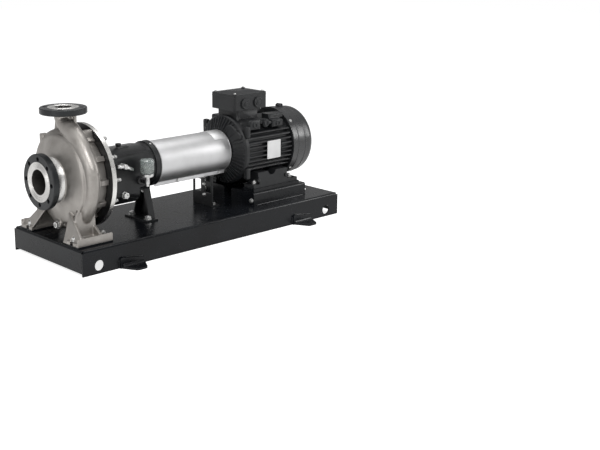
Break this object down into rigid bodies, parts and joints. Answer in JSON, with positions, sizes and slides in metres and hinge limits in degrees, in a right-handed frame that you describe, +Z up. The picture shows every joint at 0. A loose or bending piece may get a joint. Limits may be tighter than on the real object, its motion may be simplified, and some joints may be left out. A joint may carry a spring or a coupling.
{
  "type": "centrifugal pump",
  "caption": "End suction volute pump with bearing bracket, guarded coupling and finned electric motor on a folded steel base.",
  "frame": {"origin": "on the floor, centre of the four anchor holes, below the shaft", "axes": "+X from the suction flange to the motor along the shaft, +Z up"},
  "size_m": [1.425, 0.63, 0.61],
  "materials": {
    "base_paint": "semi gloss",
    "cast_stainless": "bead blasted",
    "flange_paint": "satin",
    "bracket_paint": "satin",
    "machined_steel": "machined",
    "guard_steel": "brushed",
    "zinc_steel": "zinc plated",
    "motor_paint": "matt",
    "black_plastic": "matt",
    "clear_bottle": "clear",
    "plate_aluminium": "satin"
  },
  "bodies": {
    "root": {"anchor_lugs": "base_paint", "base_cross_members": "base_paint", "base_frame": "base_paint", "bearing_bracket": "bracket_paint", "bearing_end_cover": "bracket_paint", "bracket_drain_plug": "zinc_steel", "bracket_support_foot": "bracket_paint", "cable_plugs": "motor_paint", "casing_cover": "cast_stainless", "casing_drain_plug": "zinc_steel", "coupling_disc_packs": "zinc_steel", "coupling_guard": "guard_steel", "coupling_hub_motor": "machined_steel", "coupling_hub_pump": "machined_steel", "coupling_spacer": "machined_steel", "cover_bolts": "zinc_steel", "discharge_flange": "flange_paint", "guard_bracket": "bracket_paint", "impeller": "cast_stainless", "impeller_nut": "machined_steel", "motor_end_shield_front": "motor_paint", "motor_end_shield_rear": "motor_paint", "motor_fan": "black_plastic", "motor_fan_cover": "motor_paint", "motor_feet": "motor_paint", "motor_frame": "motor_paint", "motor_nameplate": "plate_aluminium", "motor_packers": "base_paint", "motor_rails": "base_paint", "motor_shaft": "machined_steel", "oil_filler_cap": "black_plastic", "oiler_base": "zinc_steel", "oiler_bottle": "clear_bottle", "oiler_elbow": "black_plastic", "pump_casing": "cast_stainless", "pump_foot_pads": "base_paint", "pump_shaft": "machined_steel", "suction_flange": "flange_paint", "terminal_box": "motor_paint", "terminal_box_lid": "motor_paint", "vent_cock": "zinc_steel"}
  },
  "joints": []
}
